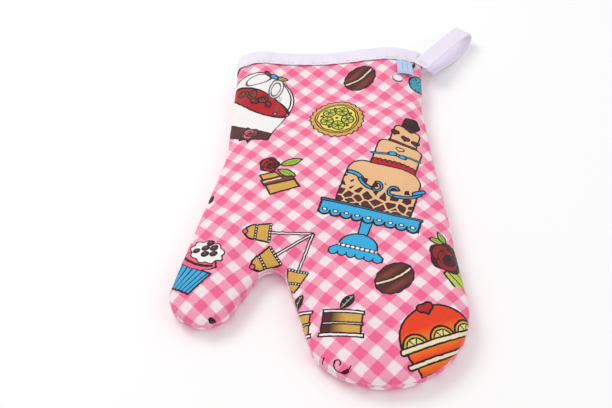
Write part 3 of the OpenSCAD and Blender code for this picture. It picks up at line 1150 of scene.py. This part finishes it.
def settle(front, cap):
    """Cloth simulation of one panel held at its seam and cuff: flat places and their moves."""
    flat, quads = flat_grid(CLOTH_GRID)
    if not front:
        quads = [q[::-1] for q in quads]
    start = lift(flat, front, GROOVE)
    obj = make_object("settling", start, quads)
    seam = np.where(side_distance(flat)[0] < HELD_RIM, 1, HELD_INSIDE)
    group = obj.vertex_groups.new(name="hold")
    for k, weight in enumerate(np.maximum(seam, smooth((flat[:, 1] - HELD_Y) / HELD_SPAN))):
        group.add([k], float(weight), "REPLACE")
    cloth = obj.modifiers.new("cloth", "CLOTH")
    settings = cloth.settings
    settings.quality = CLOTH_QUALITY
    settings.bending_stiffness = STIFFNESS
    settings.shrink_min = SHRINK
    settings.use_pressure = True
    settings.uniform_pressure_force = PRESSURE
    settings.effector_weights.gravity = 0
    settings.vertex_group_mass = "hold"
    cloth.collision_settings.use_collision = False
    cloth.point_cache.frame_start = 1
    cloth.point_cache.frame_end = CLOTH_FRAMES
    for f in range(1, CLOTH_FRAMES + 1):
        bpy.context.scene.frame_set(f)
    apply_modifiers(obj)
    moved = read(obj.data.vertices, "co") / MM - start
    bpy.data.objects.remove(obj)
    bpy.context.scene.frame_set(1)
    length = np.maximum(np.linalg.norm(moved, axis=1), 1e-6)[:, None]
    return flat, moved * cap * np.tanh(length / cap) / length


def settled(at, places, moves):
    """The simulated movement at the flat points at."""
    out = np.empty((len(at), 3))
    for lo in range(0, len(at), 1000):
        gap2 = ((at[lo : lo + 1000, None] - places) ** 2).sum(2)
        near = np.exp(-gap2 / (2 * SPREAD**2))
        out[lo : lo + 1000] = near @ moves / near.sum(1)[:, None]
    return out


def flat_area(points, quads):
    """Area of flat quads, in square millimetres."""
    a, b, c, d = points[np.array(quads)].transpose(1, 0, 2)
    across, along = c - a, d - b
    return float(np.abs(across[:, 0] * along[:, 1] - across[:, 1] * along[:, 0]).sum()) / 2


def printed_panel(side, moves, quads):
    """The outer cotton of one side: padded, smoothed and given its thickness."""
    front = side == "front"
    base = make_object("base_" + side, lift(FLAT, front, GROOVE) + moves, quads)
    put_cloth(base, cloth_place(FLAT, front))
    subdivide(base)
    fine = [tuple(p.vertices) for p in base.data.polygons]
    top = read(base.data.vertices, "co") / MM
    normal = read(base.data.vertex_normals, "vector")
    places = read(base.data.attributes["cloth"].data, "vector")
    bpy.data.objects.remove(base)
    top = top - normal * pressed(top)[:, None]
    under = bounded(top - normal * COTTON, front, CLEAR + COTTON / 2)
    prints = FRONT_PRINT if front else BACK_PRINT
    slots = motif_slots(prints, places[np.array(fine)].mean(1))
    materials = motif_materials(side, prints) + [COTTON_BACK]
    panel = shell("printed_panel_" + side, bounded(top, front), under, fine, materials, slots)
    put_cloth(panel, np.vstack([places, places]))
    across_fold(panel)
    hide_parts("outer_" + side, "outer_" + side + "_thumb")
    return panel


def hidden_layer(name, side, moves, quads, depths, groove, material):
    """A layer inside one side, between two depths."""
    front = side == "front"
    faces = [lift(FLAT, front, groove, depths[0]), lift(FLAT, front, 0, depths[1])]
    faces = [bounded(face + moves, front) for face in faces]
    layer = shell(name + "_layer_" + side, *faces, quads, [material])
    put_cloth(layer, np.vstack([FLAT, FLAT]))
    across_fold(layer)
    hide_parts(name + "_" + side, name + "_" + side + "_thumb")
    return layer


FLAT, QUADS = flat_grid(FINE_GRID)
FLAT_AREA = flat_area(FLAT, QUADS) * MM**2
SETTLED = {}
for side, cap in SETTLE_CAPS.items():
    front = side == "front"
    quads = QUADS if front else [q[::-1] for q in QUADS]
    SETTLED[side] = settle(front, cap)
    moves = settled(FLAT, *SETTLED[side])
    panel = printed_panel(side, moves, quads)
    depths = (BATTING_DEPTHS[0] + pressed(FLAT), BATTING_DEPTHS[1])
    batting = hidden_layer("batting", side, moves, quads, depths, GROOVE, WADDING)
    lining = hidden_layer("lining", side, moves, quads, LINING_DEPTHS, 0, CALICO)

# --- Cuff binding ---

CUFF_COUNT = 110
AROUND = 2 * CUFF_COUNT - 2
# share of the points round the cuff that is spaced evenly; the others crowd to its corners
EVEN = 0.65
# the tape's own fold over the cuff's edge
TAPE_FOLD_Y = -3.3
TAPE_FOLD_R = 3.3
TAPE_FOLD_HEIGHT = 3.95
TAPE_FOLD_MIDDLE = 3.05
TAPE_FOLD_STEPS = 8
# how far the tape lies off the table, outside and inside the cuff
OUTER_FLOOR = 0.08
INNER_FLOOR = 0.45
STITCH_ROW = 11.9
# the tape in section: along the mitt from the cuff, and depth under the padded surface
PROFILE = [
    (-14, 0.10),
    (-14.1, -0.30),
    (-13.7, -0.62),
    (-12.9, -0.66),
    (-12.2, -0.42),
    (-11.6, -0.40),
    (-10.9, -0.66),
    (-8, -0.85),
    (-5, -0.90),
]
for k in range(TAPE_FOLD_STEPS + 1):
    a = math.pi * k / TAPE_FOLD_STEPS
    depth = TAPE_FOLD_MIDDLE - TAPE_FOLD_HEIGHT * math.cos(a)
    PROFILE.append((TAPE_FOLD_Y + TAPE_FOLD_R * math.sin(a), depth))
PROFILE += [(-5, 6.95), (-9, 6.85), (-13.6, 6.75), (-14, 6.5), (-13.7, 6.1), (-9, 6.1), (-4, 6)]
PROFILE += [(-1.7, 6), (-1.1, 4.6), (-0.95, 3.05), (-1.2, 1.5), (-2, 0.3), (-4, 0.1), (-8, 0.05)]


def edge_x(y):
    """Where the flat cloth's two side edges are at the height y."""
    half = len(FLAT_EDGE) // 2
    left, right = (edge[edge[:, 1] > 60] for edge in (FLAT_EDGE[:half][::-1], FLAT_EDGE[half:]))
    return [np.interp(y, edge[:, 1], edge[:, 0]) for edge in (left, right)]


def round_the_cuff(y, depth, count):
    """A closed loop of points round the cuff's wall, along the front and back along the back."""
    x0, x1 = edge_x(y)
    even = np.linspace(0, 1, count)
    t = (1 - np.cos(even * math.pi)) / 2 * (1 - EVEN) + even * EVEN
    x = x0 + CLEAR + (x1 - x0 - 2 * CLEAR) * t
    q = np.column_stack([x, np.full(count, y)])
    ahead, _ = surface(q, True, depth[:count])
    behind, _ = surface(q[::-1][1:-1], False, depth[count:])
    return np.vstack([ahead, behind])


def wander(n, waves, amount, seed):
    """A smooth closed row of small random amounts."""
    r = np.random.default_rng(seed)
    t = np.linspace(0, 2 * math.pi, n, endpoint=False)
    out = np.zeros(n)
    for k in range(2, waves):
        out += r.normal() / math.sqrt(waves) * np.sin(k * t + r.uniform(0, 6.28))
    return out * amount


rows = []
drift = wander(AROUND, 9, 0.5, 12).mean()
for dy, depth in PROFILE:
    outside = depth < 0
    ease = math.exp(-((dy + STITCH_ROW) ** 2) / 8) if outside else 0
    ripple = wander(AROUND, 46, 0.22 + 0.25 * ease, 11) * (1 if outside else 0.3)
    row = round_the_cuff(CUFF_Y + dy + drift, depth + ripple, CUFF_COUNT)
    row[:, 2] = np.maximum(row[:, 2], OUTER_FLOOR if outside else INNER_FLOOR)
    rows.append(row)
faces = tube(len(PROFILE), AROUND, closed=True)
binding = make_object("cuff_binding_tape", np.vstack(rows), faces, [TAPE])
around = np.tile(lengths(rows[0]), len(PROFILE))
across = np.repeat([dy if depth < 1 else -dy for dy, depth in PROFILE], AROUND)
put_cloth(binding, np.column_stack([around, across]))
subdivide(binding)
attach(binding, "hand")
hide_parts("cuff_binding")

# --- Threads ---

STITCH_SIDES = 6
THREAD_R = 0.22
TOPSTITCH_R = 0.2
TOPSTITCH_STEP = 3.5
TOPSTITCH_LEN = 2.7
TOPSTITCH_RISE = 0.5
TOPSTITCH_FLOOR = 0.25
SEAM_STEP = 3.4
SEAM_LEN = 2.5
# a stitch dips at both ends: share of its length, rise and size
STITCH = [(0, -0.9, 0.4), (0.12, -0.1, 1), (0.5, 0.25, 1), (0.88, -0.1, 1), (1, -0.9, 0.4)]


def stitch(a, b, r, out):
    """The points of a short stitch from a to b that stands out from its cloth."""
    along = (b - a) / np.linalg.norm(b - a)
    out = out - along * (out @ along)
    out /= np.linalg.norm(out)
    other = np.cross(along, out)
    pts = []
    for t, rise, size in STITCH:
        middle = a + (b - a) * t + out * rise * r
        for k in range(STITCH_SIDES):
            c, s = polar(r * size, 360 * k / STITCH_SIDES)
            pts.append(middle + out * c + other * s)
    return pts


def stitched(name, stitches, *nodes):
    """One object of many stitches."""
    faces = []
    for k, pts in enumerate(stitches):
        faces += [[v + k * len(pts) for v in f] for f in tube(len(STITCH), STITCH_SIDES)]
    pts = np.vstack(stitches)
    obj = make_object(name, pts, faces, [THREAD])
    fix_normals(obj)
    put_cloth(obj, pts[:, :2])
    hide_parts(*nodes)
    return obj


stitches = []
x0, x1 = edge_x(CUFF_Y - STITCH_ROW)
for front in (True, False):
    for x in np.arange(x0 + 7, x1 - 9, TOPSTITCH_STEP):
        q = np.array([[x, CUFF_Y - STITCH_ROW], [x + TOPSTITCH_LEN, CUFF_Y - STITCH_ROW]])
        p, n = surface(q, front, np.full(2, -TOPSTITCH_RISE))
        p[:, 2] = np.maximum(p[:, 2], TOPSTITCH_FLOOR)
        stitches.append(stitch(*p, TOPSTITCH_R, n[0]))
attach(stitched("binding_stitches", stitches, "binding_thread"), "hand")

stitches = []
below = SIDE_P[:, 1] < TUCK_Y - 1
seam = np.column_stack([SIDE_P, SIDE_N])[below]
arc = lengths(seam[:, :2])
for t in np.arange(1, arc[-1] - 3, SEAM_STEP):
    at = np.array([[np.interp(u, arc, column) for column in seam.T] for u in (t, t + SEAM_LEN)])
    ends = np.column_stack([at[:, :2] - at[:, 2:], [SEAM_Z, SEAM_Z]])
    stitches.append(stitch(*ends, THREAD_R, np.append(at[0, 2:], 0)))
across_fold(stitched("seam_stitches", stitches, "seam_thread", "seam_thread_thumb"))

# --- Hanging loop ---

LOOP_ROOT = np.array([70, 110.5])
LOOP_ALONG = np.array(polar(1, 47))
LOOP_LEFT = np.array([-LOOP_ALONG[1], LOOP_ALONG[0]])
TAPE_W = 12
TACK_ROWS = (-6.6, -5)
TACK_LEN = 1.5
TACK_RISE = 0.62
# the tape's middle line: distance out from the root, sideways shift and height
LOOP_PATH = [
    (-8.6, 1.0, 15.8),
    (-6, 1.0, 16.6),
    (-3, 0.8, 17.4),
    (-0.8, 0.8, 17.6),
    (1.2, 0.8, 16.9),
    (3.5, 0.9, 16.6),
    (8, 1.0, 16.6),
    (16, 1.6, 15.4),
    (26, 2.4, 14.2),
    (36, 3.0, 13.2),
    (43, 3.0, 12.2),
    (46.6, 2.8, 11.2),
    (48.6, 2.6, 9.2),
    (49.2, 2.4, 6.6),
    (48.4, 2.2, 4.2),
    (46, 1.9, 2.4),
    (42, 1.6, 1.3),
    (34, 0.8, 1.0),
    (24, 0.2, 1.7),
    (14, 0.2, 3.6),
    (6, 0.3, 5.4),
    (0.5, 0.2, 6.6),
    (-1.5, 0.2, 7.0),
]
# half of the tape in section, thicker at its hem: share of the half width, and half thickness
HEM = [(0, 0.40), (0.45, 0.42), (0.72, 0.46), (0.86, 0.62), (0.95, 0.58), (1, 0.2)]


def catmull(points, per):
    """A smooth line through the points."""
    p = np.asarray(points, float)
    p = np.vstack([2 * p[0] - p[1], p, 2 * p[-1] - p[-2]])
    out = []
    for a, b, c, d in zip(p, p[1:], p[2:], p[3:]):
        bend, twist = 2 * a - 5 * b + 4 * c - d, 3 * b - a - 3 * c + d
        for t in np.linspace(0, 1, per, endpoint=False):
            out.append(0.5 * (2 * b + (c - a) * t + bend * t**2 + twist * t**3))
    return np.array(out + [p[-2]])


def unit(rows):
    return rows / np.linalg.norm(rows, axis=1)[:, None]


line = catmull(LOOP_PATH, 4)
middle = LOOP_ROOT + line[:, :1] * LOOP_ALONG + line[:, 1:2] * LOOP_LEFT
middle = np.column_stack([middle, line[:, 2]])
tangent = unit(np.gradient(middle, axis=0))
left = np.tile(np.append(LOOP_LEFT, 0), (len(middle), 1))
left = unit(left - tangent * (left * tangent).sum(1)[:, None])
out = np.cross(tangent, left)
half_w = TAPE_W / 2
section = [(y * half_w, z) for y, z in HEM]
section = [(-y, z) for y, z in section[:0:-1]] + section
section += [(y, -z) for y, z in section[::-1]]
pts, places = [], []
length = lengths(middle)
for k, sway in enumerate(wander(len(middle), 12, 0.25, 5)):
    for y, z in section:
        rise = z + sway * 0.3 * (1 - (y / half_w) ** 2)
        pts.append(middle[k] + left[k] * y * (1 + 0.02 * sway) + out[k] * rise)
        places.append((length[k], y))
loop = make_object("hanging_loop_tape", pts, tube(len(middle), len(section)), [TAPE])
put_cloth(loop, places)
subdivide(loop)
fix_normals(loop)
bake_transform(loop)
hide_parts("loop_tab", "hanging_loop")

stitches = []
for d in TACK_ROWS:
    j = int(np.argmin(np.abs(line[: len(line) // 2, 0] - d)))
    for y in np.arange(-4.6, 4.4, 1.9):
        ends = [middle[j] + left[j] * u + out[j] * TACK_RISE for u in (y, y + TACK_LEN)]
        stitches.append(stitch(*ends, THREAD_R, out[j]))
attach(stitched("loop_stitches", stitches, "loop_thread"), "hand")

# --- Label ---

LABEL_COLUMNS = 13
LABEL_ROWS = 22
LABEL_T = 0.3
TUCKED_RISE = -0.42

x, y = np.meshgrid(
    (np.arange(LABEL_COLUMNS) / (LABEL_COLUMNS - 1) - 0.5) * LABEL_W,
    LABEL_TUCK - np.arange(LABEL_ROWS) / (LABEL_ROWS - 1) * (LABEL_LEN + LABEL_TUCK),
)
x, y = x.ravel(), y.ravel()
c, s = polar(1, LABEL_LEAN)
grid = np.column_stack([LABEL_X + c * x - s * y, TUCK_Y + s * x + c * y])
# it leaves the binding close to the cloth and stands off more towards its free end
down = np.clip(-y / LABEL_LEN, 0, 1)
hover = 0.2 + 0.5 * smooth(down * 8) + 1.8 * down**1.6 + 0.35 * np.sin(x * 0.45 + 0.6) * down
hover = np.where(y > -0.5, TUCKED_RISE, hover)
moves = settled(grid, *SETTLED["front"])
sides = [surface(grid, True, -hover + t)[0] + moves for t in (-LABEL_T / 2, LABEL_T / 2)]
index = np.arange(len(grid)).reshape(LABEL_ROWS, LABEL_COLUMNS)
corners = [index[:-1, :-1], index[1:, :-1], index[1:, 1:], index[:-1, 1:]]
quads = np.column_stack([c.ravel() for c in corners]).tolist()
label = shell("label_tag", *sides, quads, [satin_label()])
put_cloth(label, np.tile(np.column_stack([x, y]), (2, 1)))
subdivide(label)
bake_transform(label)
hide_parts("label")

# --- Stage ---

FLOOR_HALF = 3000
WORLD_LIGHT = 0.73

paint = bpy.data.materials.new("floor_paint")
paint.use_nodes = True
paint_shader = paint.node_tree.nodes["Principled BSDF"]
paint_shader.inputs["Base Color"].default_value = (0.98, 0.98, 0.98, 1)
paint_shader.inputs["Roughness"].default_value = 0.9
corners = [(x * FLOOR_HALF, y * FLOOR_HALF, 0) for x, y in ((-1, -1), (1, -1), (1, 1), (-1, 1))]
make_object("floor", corners, [(0, 1, 2, 3)], [paint])

scene = bpy.context.scene
scene.world = bpy.data.worlds.new("studio")
scene.world.use_nodes = True
background = scene.world.node_tree.nodes["Background"]
background.inputs["Color"].default_value = (1, 1, 1, 1)
background.inputs["Strength"].default_value = WORLD_LIGHT

# soft lights that face the mitt: place and size in metres, and watts
for name, place, size, watts in (
    ("key", (-0.55, 0.45, 0.9), 0.6, 4.2),
    ("fill", (0.8, -0.6, 1.0), 1.2, 2),
):
    light = bpy.data.lights.new(name, "AREA")
    light.shape = "DISK"
    light.size = size
    light.energy = watts
    lamp = bpy.data.objects.new(name, light)
    lamp.location = place
    lamp.rotation_euler = (-Vector(place)).to_track_quat("-Z", "Y").to_euler()
    scene.collection.objects.link(lamp)

camera_data = bpy.data.cameras.new("camera")
camera_data.sensor_width = SENSOR
camera_data.lens = SENSOR * FOCAL_PX / FRAME_PX
camera_data.clip_start = 0.01
camera = bpy.data.objects.new("camera", camera_data)
tilt = math.radians(ELEVATION)
target = Vector(LOOK_AT) * MM
camera.location = target + Vector((0, -math.cos(tilt), math.sin(tilt))) * DISTANCE * MM
aim = (target - camera.location).to_track_quat("-Z", "Y").to_matrix().to_4x4()
roll = Matrix.Rotation(math.radians(ROLL), 4, "Z")
camera.matrix_world = Matrix.Translation(camera.location) @ aim @ roll
scene.collection.objects.link(camera)
scene.camera = camera
scene.view_settings.view_transform = "Standard"
